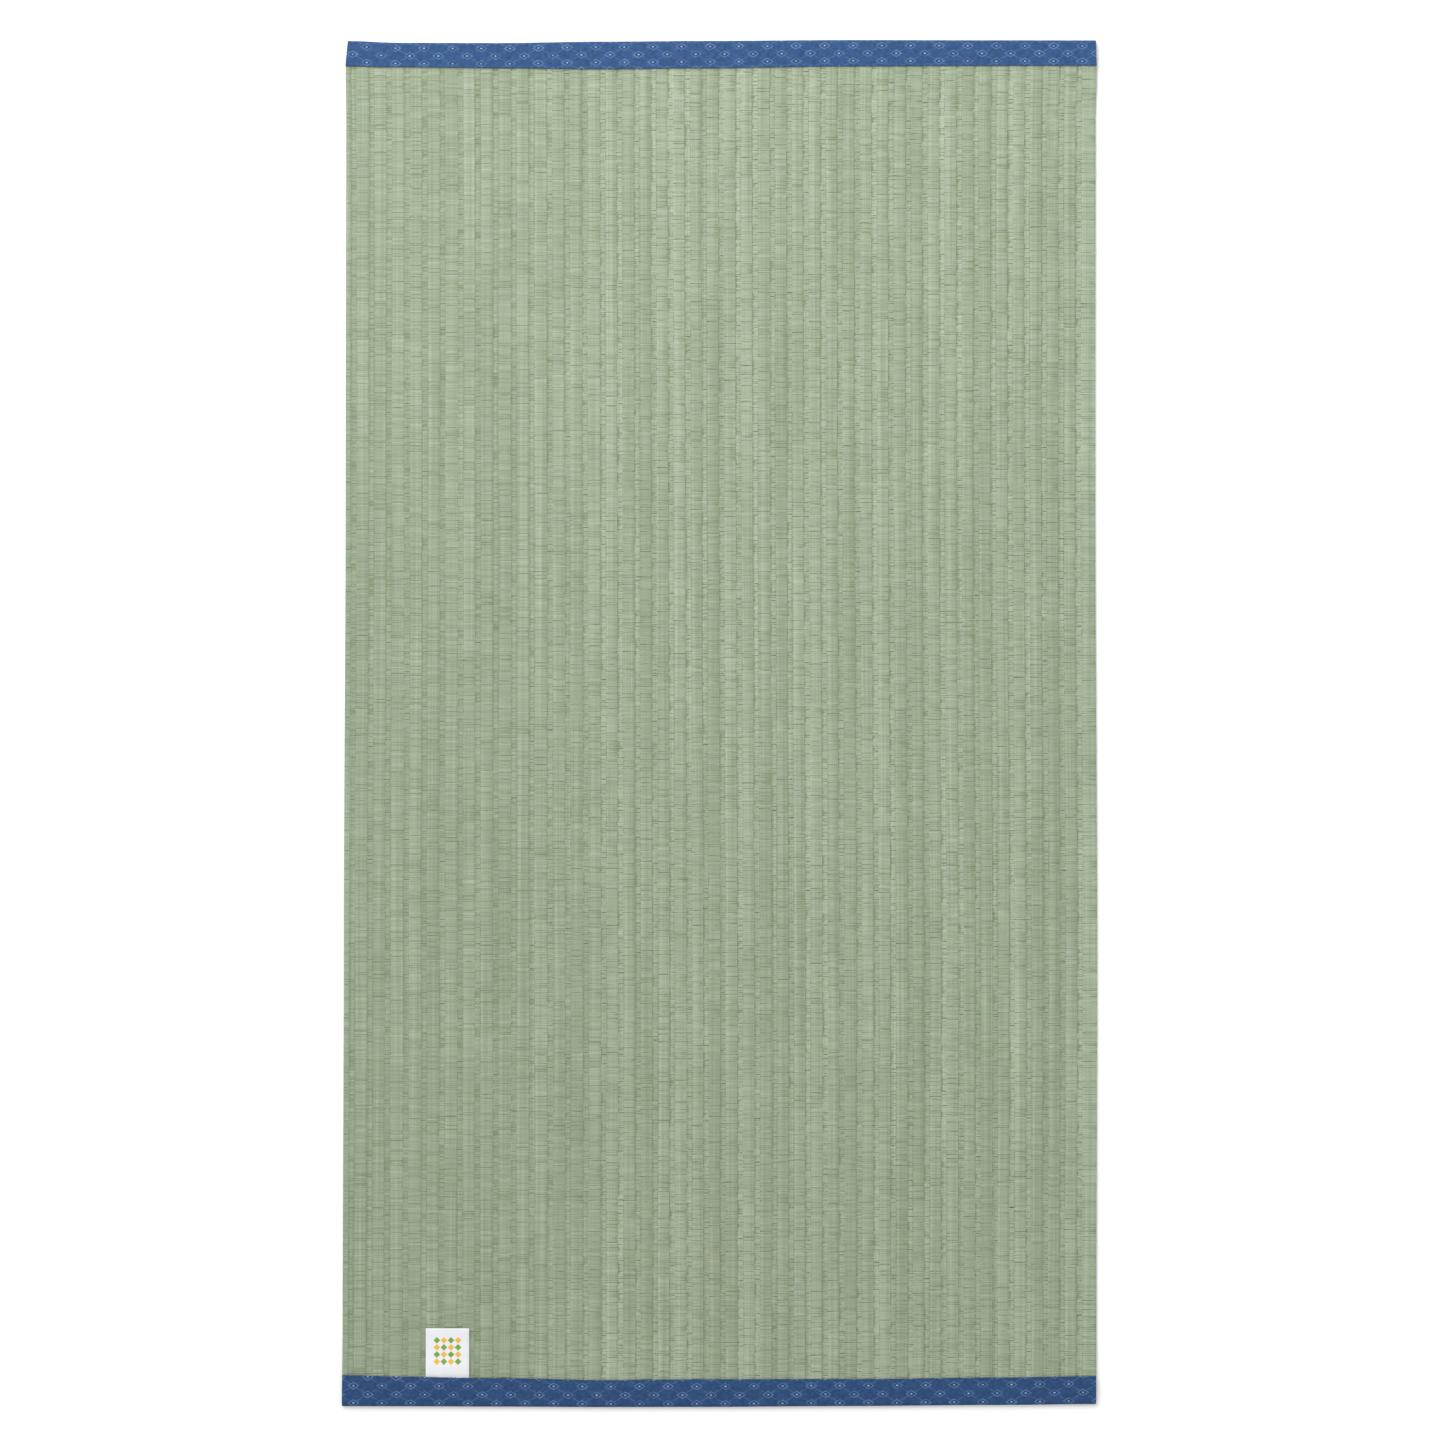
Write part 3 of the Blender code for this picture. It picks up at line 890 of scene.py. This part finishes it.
def strand_tree():
    """Lays a stretch of every strand over every rib, groove and selvedge, each a little different."""
    tree, given, made = new_tree("rush floats", STRAND_INPUTS)
    wanted = given.outputs
    index = add(tree, "GeometryNodeInputIndex")
    post = whole_maths(tree, "DIVIDE_FLOOR", index, wanted["Strands"])
    strand = whole_maths(tree, "MODULO", index, wanted["Strands"])
    strand = whole_maths(tree, "ADD", strand, wanted["First Strand"])
    seed = whole_maths(tree, "ADD", wanted["Seed"], wanted["First Strand"])
    guide = {}
    for name in ("at", "breadth", "lean", "in_groove", "pale"):
        value = add(tree, "GeometryNodeInputNamedAttribute", {"Name": name}, data_type="FLOAT")
        guide[name] = add(
            tree,
            "GeometryNodeSampleIndex",
            {"Geometry": wanted["Geometry"], "Value": value, "Index": post},
            data_type="FLOAT",
        )
    along = maths(tree, "MULTIPLY_ADD", strand, wanted["Pitch"], wanted["Start"])
    even = add(tree, "ShaderNodeCombineXYZ", {"X": guide["at"], "Y": along})
    chance = {}
    for salt, (name, least, most) in enumerate(
        (
            ("across", -0.3, 0.3),
            ("along", -1.0, 1.0),
            ("up", -0.3, 0.3),
            ("skew", -0.025, 0.025),
            ("wide", 0.85, 1.35),
            ("high", 0.8, 1.2),
            ("tone", -0.9, 0.9),
            ("hue", -1.0, 1.0),
            ("bend", -1.0, 1.0),
        )
    ):
        own_seed = whole_maths(tree, "ADD", seed, 1000 * salt)
        chance[name] = add(
            tree, "FunctionNodeRandomValue", {"Min": least, "Max": most, "Seed": own_seed}, data_type="FLOAT"
        )
    stray = add(
        tree, "ShaderNodeCombineXYZ", {"X": chance["across"], "Y": chance["along"], "Z": chance["up"]}
    )
    stray = scaled(tree, stray, wanted["Stray"])
    place = vector_maths(tree, "ADD", even, stray)
    posts = add(tree, "GeometryNodeAttributeDomainSize", {"Geometry": wanted["Geometry"]}, component="MESH")
    count = whole_maths(tree, "MULTIPLY", posts.outputs["Point Count"], wanted["Strands"])
    points = add(tree, "GeometryNodePoints", {"Count": count, "Position": place})
    # Most strands are nearly alike, and a few are much paler or darker.
    odd = maths(tree, "POWER", chance["tone"], 3.0)
    # A rib is a little paler or duller over some 250 mm, and its strands are rounder over some 15 mm.
    on_rib_place = add(tree, "ShaderNodeCombineXYZ", {"X": post, "Y": strand})
    bundle, relief = (
        noise(tree, vector_maths(tree, "MULTIPLY", on_rib_place, size), 1.0, 2.0)
        for size in ((3.7, 0.006, 0.0), (5.3, 0.11, 0.0))
    )
    bundle = remap(tree, bundle, (0.3, 0.7), (-0.3, 0.3))
    relief = remap(tree, relief, (0.3, 0.7), (0.4, 1.5))
    high = maths(tree, "MULTIPLY", chance["high"], relief)
    tone = maths(tree, "ADD", odd, bundle)
    tone = maths(tree, "ADD", tone, guide["pale"])
    home = add(tree, "ShaderNodeCombineXYZ", {"X": guide["at"], "Y": along, "Z": guide["breadth"]})
    for name, value, kind in (
        ("tone", tone, "FLOAT"),
        ("hue", chance["hue"], "FLOAT"),
        ("bend", chance["bend"], "FLOAT"),
        ("in_groove", guide["in_groove"], "FLOAT"),
        ("home", home, "FLOAT_VECTOR"),
    ):
        points = add(
            tree,
            "GeometryNodeStoreNamedAttribute",
            {"Geometry": points, "Name": name, "Value": value},
            data_type=kind,
        )
    wide = maths(tree, "MULTIPLY", chance["wide"], wanted["Pitch"])
    scale = add(tree, "ShaderNodeCombineXYZ", {"X": guide["breadth"], "Y": wide, "Z": high})
    turn = add(tree, "ShaderNodeCombineXYZ", {"Y": guide["lean"], "Z": chance["skew"]})
    on_rib = add(tree, "FunctionNodeBooleanMath", {0: guide["in_groove"]}, operation="NOT")
    together = add(tree, "GeometryNodeJoinGeometry")
    for chosen, template in ((on_rib, "Rib Float"), (guide["in_groove"], "Groove Float")):
        shape = add(tree, "GeometryNodeObjectInfo", {"Object": wanted[template]})
        laid = add(
            tree,
            "GeometryNodeInstanceOnPoints",
            {
                "Points": points,
                "Selection": chosen,
                "Instance": shape.outputs["Geometry"],
                "Rotation": turn,
                "Scale": scale,
            },
        )
        wire(tree, together.inputs["Geometry"], laid)
    real = add(tree, "GeometryNodeRealizeInstances", {"Geometry": together})
    coated = add(tree, "GeometryNodeSetMaterial", {"Geometry": real, "Material": wanted["Material"]})
    wire(tree, made.inputs["Geometry"], coated)
    return tree


def settle_strands(mesh, pitch):
    """Bends a band of strands, moves it onto the mat, and gives each strand its place on a map."""
    points, home, within = vectors(mesh, "position"), vectors(mesh, "home"), vectors(mesh, "within")
    bend, in_groove, dip = values_of(mesh, "bend"), values_of(mesh, "in_groove"), values_of(mesh, "dip")
    leant = lean_share(home[:, 0])
    # Where ribs lean, their painted shade follows the profile across the rib, not the groove.
    dip += leant * (LEAN_SHADE_MOST * painted_lean_shade(points[:, 0]) - dip)
    mesh.attributes["dip"].data.foreach_set("value", dip.astype(np.float32))
    # Most strands are nearly straight, and a few bow out between their warp threads.
    points[:, 1] += STRAND_BEND * bend**5 * (1 - (2 * within[:, 0]) ** 2)
    set_vectors(mesh, "laid", points)
    along = points[:, 1]
    points[:, 0] = across_at(points[:, 0] / MAT_WIDTH, along)
    lift = np.where(in_groove > 0, GROOVE_LIFT, END_LIFT * (2 * within[:, 0]) ** 4)
    points[:, 2] += weave_crest(along) + leant * lift
    # No two stretches of strand share any place on the map.
    size = np.stack([0.98 * home[:, 2], np.full(len(home), 0.9 * pitch)], axis=1)
    own = home[:, :2] + within[:, :2] * size
    own = (own - own.min(axis=0)) / (own.max(axis=0) - own.min(axis=0))
    mesh.vertices.foreach_set("co", points.astype(np.float32).ravel())
    for name in ("home", "within", "bend", "in_groove"):
        mesh.attributes.remove(mesh.attributes[name])
    set_map(mesh, "OFBake", 0.002 + 0.996 * own)
    mesh.update()


def make_strands(context):
    """The rush strands of the upper face, in bands along the mat."""
    settings = context.scene.rush_mat_sizes
    material = rush_material(context.scene.rush_mat_colours)
    templates = (float_template("rib_float", RIB_FLOAT), float_template("groove_float", GROOVE_FLOAT))
    guide = strand_guide()
    tree = strand_tree()
    start = -SEAM_NOMINAL - STRAND_REACH
    strands = int(-2 * start / settings.strand_pitch)
    edges = [round(strands * band / STRAND_BANDS) for band in range(STRAND_BANDS + 1)]
    for band, (first, last) in enumerate(zip(edges, edges[1:])):
        piece = new_object(f"rush_strands_{band + 1}", guide.copy())
        values = {
            "First Strand": first,
            "Strands": last - first,
            "Start": start,
            "Pitch": settings.strand_pitch,
            "Stray": settings.strand_stray,
            "Seed": settings.strand_seed,
            "Rib Float": templates[0],
            "Groove Float": templates[1],
            "Material": material,
        }
        settle_strands(grow(piece, tree, values), settings.strand_pitch)
        fit_piece(piece, "green_rush", "rush_weave")
    for template in templates:
        bpy.data.objects.remove(template)


# Bindings


def label_hump(end, across):
    """How far a binding's upper layer stands over its usual height, where the label's tail is."""
    if end > 0:
        return np.zeros_like(across)
    past = np.abs(across - LABEL_MIDDLE) - LABEL_WIDTH / 2 - HUMP_CLEAR
    return HUMP_RISE * ease(1 - past / HUMP_RUN)


def near_groove(share):
    """1 in the middle of a groove, falling to 0 on the ribs beside it."""
    apart = np.abs(share[:, None] - GROOVES[None, :]).min(axis=1) * MAT_WIDTH
    return np.exp(-((apart / (GROOVE_WIDTH / 2)) ** 2))


def cloth_stations():
    """Shares of the mat's width at which the cloth has a section: some to each rib, and both ends."""
    steps = np.arange(CLOTH_STATIONS_A_RIB) / CLOTH_STATIONS_A_RIB
    ribs = GROOVES[:-1, None] + steps * np.diff(GROOVES)[:, None]
    return np.concatenate([[0.0, GROOVES[0] / 2], ribs.ravel(), [GROOVES[-1], (1 + GROOVES[-1]) / 2, 1.0]])


def cloth_middle(end, share):
    """The folded cloth's middle line at each share: along, up, and distance round it from the fold.

    A row is a station and a column a place, from the sewn edge over the fold to the lower edge.
    """
    across = across_at(share, end * (MAT_LENGTH / 2 - FOLD_RADIUS))[:, None]
    radius = FOLD_RADIUS - CLOTH_THICK / 2
    centre = fold_line(end, across) - end * FOLD_RADIUS
    dip = near_groove(share)[:, None]
    seam = seam_line(end, across) + end * SEAM_RIPPLE * dip
    steps = np.array(CLOTH_STEPS)[None, :]
    flat_along = seam + end * steps
    free = np.abs(centre - flat_along)
    past_tail = (np.abs(centre - seam) - HUMP_REACH - free) / (np.abs(centre - seam) - HUMP_REACH)
    rise = label_hump(end, across) * (1 - ease(past_tail))
    trough = SEAM_TROUGH * np.exp(-(((steps - SEAM_INSET) / SEAM_TROUGH_HALF) ** 2))
    sag = CLOTH_SAG * dip * ease(free / 0.008)
    upper = 2 * FOLD_RADIUS - CLOTH_THICK / 2 + rise - trough - sag
    lower = np.broadcast_to(CLOTH_THICK / 2 + 0.3 * trough, upper.shape)
    angles = np.linspace(0, pi, CLOTH_ARC_STEPS + 1)[None, :]
    arc_along = centre + end * radius * np.sin(angles)
    arc_up = np.broadcast_to(FOLD_RADIUS + radius * np.cos(angles), arc_along.shape)
    arc_apart = np.broadcast_to((pi / 2 - angles) * radius, arc_along.shape)
    along = np.concatenate([flat_along, arc_along, flat_along[:, ::-1]], axis=1)
    up = np.concatenate([upper, arc_up, lower[:, ::-1]], axis=1)
    apart = free + radius * pi / 2
    return along, up, np.concatenate([apart, arc_apart, -apart[:, ::-1]], axis=1)


def cloth_rings(end, share):
    """Closed sections of the folded cloth with rounded edges, and each point's distance from the fold."""
    along, up, apart = cloth_middle(end, share)
    run, climb = np.gradient(along, axis=1), np.gradient(up, axis=1)
    length = np.hypot(run, climb)
    # The outer side is on the left of the way from the upper sewn edge round to the lower one.
    out_along, out_up = -end * climb / length * end, run / length * end
    half = CLOTH_THICK / 2
    parts = [(along + half * out_along, up + half * out_up, apart)]
    for column, turns in ((-1, (0.25, 0.5, 0.75)), (None, None), (0, (0.75, 0.5, 0.25))):
        if column is None:
            parts.append(
                tuple(part[:, ::-1] for part in (along - half * out_along, up - half * out_up, apart))
            )
            continue
        for turn in turns:
            swing = np.cos(turn * pi), np.sin(turn * pi)
            side = 1 if column else -1
            ahead_along = side * (run / length)[:, column]
            ahead_up = side * (climb / length)[:, column]
            part_along = along[:, column] + half * (
                swing[0] * out_along[:, column] + swing[1] * ahead_along
            )
            part_up = up[:, column] + half * (swing[0] * out_up[:, column] + swing[1] * ahead_up)
            parts.append(tuple(part[:, None] for part in (part_along, part_up, apart[:, column])))
    ring_along, ring_up, ring_apart = (np.concatenate(columns, axis=1) for columns in zip(*parts))
    ring_across = across_at(share[:, None], ring_along)
    return np.stack([ring_across, ring_along, ring_up], axis=2), ring_apart


def make_binding(name, end, pattern, material):
    """A strip of figured cloth folded over one end of the weave."""
    share = cloth_stations()
    rings, apart = cloth_rings(end, share)
    mesh = body_mesh(name, rings)
    # Seen from above, cloth round the fold looks this much shorter than it is.
    hidden = FOLD_RADIUS * (pi / 2 - 1)
    across = (rings[:, :, 0] - pattern.first_across) / LOZENGE_PITCH
    rows = (apart - hidden - pattern.from_fold) / pattern.row_pitch
    set_map(mesh, "cloth", np.stack([across.ravel(), rows.ravel()], axis=1))
    return new_object(name, mesh, material)


def make_bindings(context):
    """The two bindings; the foot's cloth is coloured darker than the head's."""
    colours = context.scene.rush_mat_colours
    for name, end, pattern, ground in (
        ("head", 1, HEAD_PATTERN, colours.head_cloth),
        ("foot", -1, FOOT_PATTERN, colours.foot_cloth),
    ):
        material = binding_material(f"figured_cotton_tape_{name}", ground, pattern, colours)
        piece = make_binding(f"{name}_binding", end, pattern, material)
        fit_piece(piece, "blue_binding_cloth", f"binding_{name}")


def seam_path(end, upper):
    """The sewing's line on one face of a binding, with a point every few millimetres."""
    share = cloth_stations()[1:-1]
    along, up, _ = cloth_middle(end, share)
    column = CLOTH_STEPS.index(SEAM_INSET)
    column = column if upper else along.shape[1] - 1 - column
    side = 1 if upper else -1
    path = np.stack([across_at(share, along[:, column]), along[:, column], up[:, column]], axis=1)
    path[:, 2] += side * (CLOTH_THICK / 2 - THREAD_SUNK)
    return path


STITCH_INPUTS = {"Pitch": "Float", "Length": "Float", "Radius": "Float", "Material": "Material"}


def stitch_tree():
    """Lays a rounded stitch at even distances along a path."""
    tree, given, made = new_tree("running stitches", STITCH_INPUTS)
    wanted = given.outputs
    path = add(tree, "GeometryNodeMeshToCurve", {"Mesh": wanted["Geometry"]})
    places = add(
        tree, "GeometryNodeCurveToPoints", {"Curve": path, "Length": wanted["Pitch"]}, mode="LENGTH"
    )
    stitch = add(tree, "GeometryNodeMeshUVSphere", {"Segments": 6, "Rings": 4, "Radius": 1.0})
    half = maths(tree, "MULTIPLY", wanted["Length"], 0.5)
    scale = add(tree, "ShaderNodeCombineXYZ", {"X": wanted["Radius"], "Y": wanted["Radius"], "Z": half})
    laid = add(
        tree,
        "GeometryNodeInstanceOnPoints",
        {
            "Points": places.outputs["Points"],
            "Instance": stitch.outputs["Mesh"],
            "Rotation": places.outputs["Rotation"],
            "Scale": scale,
        },
    )
    real = add(tree, "GeometryNodeRealizeInstances", {"Geometry": laid})
    smooth = add(tree, "GeometryNodeSetShadeSmooth", {"Geometry": real})
    coated = add(tree, "GeometryNodeSetMaterial", {"Geometry": smooth, "Material": wanted["Material"]})
    wire(tree, made.inputs["Geometry"], coated)
    return tree


def make_stitches(context):
    """The sewing through each binding, on its upper and lower face."""
    settings, colours = context.scene.rush_mat_sizes, context.scene.rush_mat_colours
    tree = stitch_tree()
    for name, end, ground in (("head", 1, colours.head_cloth), ("foot", -1, colours.foot_cloth)):
        points, edges = [], []
        for path in (seam_path(end, upper=True), seam_path(end, upper=False)):
            first = len(points)
            points += path.tolist()
            edges += [(i, i + 1) for i in range(first, len(points) - 1)]
        mesh = bpy.data.meshes.new(f"{name}_stitches")
        mesh.from_pydata(points, edges, [])
        piece = new_object(f"{name}_stitches", mesh)
        values = {
            "Pitch": settings.stitch_pitch,
            "Length": settings.stitch_length,
            "Radius": settings.thread_thickness / 2,
            "Material": thread_material(f"dyed_sewing_thread_{name}", ground),
        }
        grow(piece, tree, values)
        fit_piece(piece, "blue_binding_cloth")


# Label


def label_top(along, seam):
    """The height of the weave's crests under the label."""
    down = np.clip((along - seam) / SETTLE_RUN, 0.0, 1.0)
    high = RUSH_LIFT + RUSH_UNDER_BINDING
    return high + (RUSH_THICK - high) * down


def make_label(context):
    """A doubled satin tape that lies on the ribs, its tail caught in the foot binding."""
    seam = float(seam_line(-1, np.array(LABEL_MIDDLE)))
    out = np.linspace(-LABEL_TAIL, LABEL_LENGTH, LABEL_STEPS)[:, None]
    side = np.linspace(-1.0, 1.0, LABEL_COLUMNS)[None, :]
    across = np.broadcast_to(LABEL_MIDDLE + side * LABEL_WIDTH / 2, (LABEL_STEPS, LABEL_COLUMNS))
    along = np.broadcast_to(seam + out, across.shape)
    # The tape sags a little over the grooves, and its free corners lift.
    ripple = 0.00012 * (1 + np.cos(across * 2 * pi / 0.0157)) * ease(out / 0.012)
    corner = 0.0003 * side**2 * ease((out - 0.025) / 0.018)
    base = label_top(along, seam) + GAP + between(LABEL_ROWS, "out", "stand", out) + ripple + corner
    lower = np.stack([across, along, base], axis=2)
    upper = np.stack([across, along, base + LABEL_SATIN], axis=2)
    # Rounded sides, and a rounded fold at the free end.
    bulge = np.array([[[LABEL_SATIN / 2, 0.0, LABEL_SATIN / 2]]])
    left, right = lower[:, :1] - bulge * [1, 1, -1], lower[:, -1:] + bulge
    rings = np.concatenate([lower, right, upper[:, ::-1], left], axis=1)
    fold = rings[-1:].copy()
    fold[:, :, 1] += LABEL_SATIN / 2
    fold[:, :, 2] += 0.6 * (np.mean([rings[-1, 0, 2], rings[-1, 0, 2] + LABEL_SATIN]) - fold[:, :, 2])
    mesh = body_mesh("satin_label", np.concatenate([rings, fold]))
    label = new_object("satin_label", mesh, satin_material(context.scene.rush_mat_colours, seam))
    fit_piece(label, "white_label_satin", "label")


# Stage


def aim_down(obj, place, target):
    """Puts a light at a place and turns it to face a target."""
    obj.location = place
    dx, dy, dz = (t - p for t, p in zip(target, place))
    obj.rotation_euler = (atan2(hypot(dx, dy), -dz), 0.0, atan2(dy, dx) - pi / 2)


def make_stage(context):
    """A white floor, soft light that is a little stronger at the head end, and the camera."""
    scene = context.scene
    floor_mesh = bpy.data.meshes.new("floor")
    reach = 6.0
    corners = [
        (x, y, -0.0002) for x, y in ((-reach, -reach), (reach, -reach), (reach, reach), (-reach, reach))
    ]
    floor_mesh.from_pydata(corners, [], [(0, 1, 2, 3)])
    new_object("floor", floor_mesh, floor_material(scene.rush_mat_colours))

    world = bpy.data.worlds.new("soft_studio")
    world.use_nodes = True
    world.node_tree.nodes["Background"].inputs["Color"].default_value = (1.0, 1.0, 1.0, 1.0)
    world.node_tree.nodes["Background"].inputs["Strength"].default_value = ROOM_LIGHT
    scene.world = world
    lamp = bpy.data.lights.new("soft_lamp", "AREA")
    lamp.shape = "SQUARE"
    lamp.size = LAMP_SIZE
    lamp.energy = LAMP_WATTS
    stand = bpy.data.objects.new("soft_lamp", lamp)
    scene.collection.objects.link(stand)
    aim_down(stand, LAMP_PLACE, LAMP_AIM)

    camera = bpy.data.cameras.new("camera")
    camera.lens = LENS
    camera.sensor_width = SENSOR
    camera_object = bpy.data.objects.new("camera", camera)
    camera_object.location = (*FRAME_MIDDLE, FRAME_WIDTH * LENS / SENSOR + RUSH_THICK)
    scene.collection.objects.link(camera_object)
    scene.camera = camera_object
    scene.view_settings.view_transform = "Standard"


class RUSHMAT_OT_ground(bpy.types.Operator):
    """Make the ribbed rush that lies under the strands"""

    bl_idname = "rush_mat.ground"
    bl_label = "Rush Ground"

    def execute(self, context):
        make_ground(context)
        return {"FINISHED"}


class RUSHMAT_OT_strands(bpy.types.Operator):
    """Lay the rush strands over the ground"""

    bl_idname = "rush_mat.strands"
    bl_label = "Rush Strands"

    def execute(self, context):
        make_strands(context)
        return {"FINISHED"}


class RUSHMAT_OT_bindings(bpy.types.Operator):
    """Fold the figured cloth over both ends"""

    bl_idname = "rush_mat.bindings"
    bl_label = "Cloth Bindings"

    def execute(self, context):
        make_bindings(context)
        return {"FINISHED"}


class RUSHMAT_OT_stitches(bpy.types.Operator):
    """Sew the bindings on"""

    bl_idname = "rush_mat.stitches"
    bl_label = "Stitches"

    def execute(self, context):
        make_stitches(context)
        return {"FINISHED"}


class RUSHMAT_OT_label(bpy.types.Operator):
    """Make the satin label in the foot seam"""

    bl_idname = "rush_mat.label"
    bl_label = "Satin Label"

    def execute(self, context):
        make_label(context)
        return {"FINISHED"}


class RUSHMAT_OT_stage(bpy.types.Operator):
    """Set up the floor, the light and the camera"""

    bl_idname = "rush_mat.stage"
    bl_label = "Stage"

    def execute(self, context):
        make_stage(context)
        return {"FINISHED"}


class RUSHMAT_PT_panel(bpy.types.Panel):
    bl_idname = "RUSHMAT_PT_panel"
    bl_label = "Rush Mat"
    bl_space_type = "VIEW_3D"
    bl_region_type = "UI"
    bl_category = "Rush Mat"

    def draw(self, context):
        column = self.layout.column()
        for group in (context.scene.rush_mat_sizes, context.scene.rush_mat_colours):
            for name in group.__annotations__:
                column.prop(group, name)
        for operator in OPERATORS:
            column.operator(operator.bl_idname)


OPERATORS = (
    RUSHMAT_OT_ground,
    RUSHMAT_OT_strands,
    RUSHMAT_OT_bindings,
    RUSHMAT_OT_stitches,
    RUSHMAT_OT_label,
    RUSHMAT_OT_stage,
)
CLASSES = (RushMatSizes, RushMatColours, *OPERATORS, RUSHMAT_PT_panel)


def register():
    for one in CLASSES:
        bpy.utils.register_class(one)
    bpy.types.Scene.rush_mat_sizes = PointerProperty(type=RushMatSizes)
    bpy.types.Scene.rush_mat_colours = PointerProperty(type=RushMatColours)


def unregister():
    del bpy.types.Scene.rush_mat_colours
    del bpy.types.Scene.rush_mat_sizes
    for one in reversed(CLASSES):
        bpy.utils.unregister_class(one)


def main():
    register()
    bpy.ops.rush_mat.ground()
    bpy.ops.rush_mat.strands()
    bpy.ops.rush_mat.bindings()
    bpy.ops.rush_mat.stitches()
    bpy.ops.rush_mat.label()
    bpy.ops.rush_mat.stage()


if __name__ == "__main__":
    main()
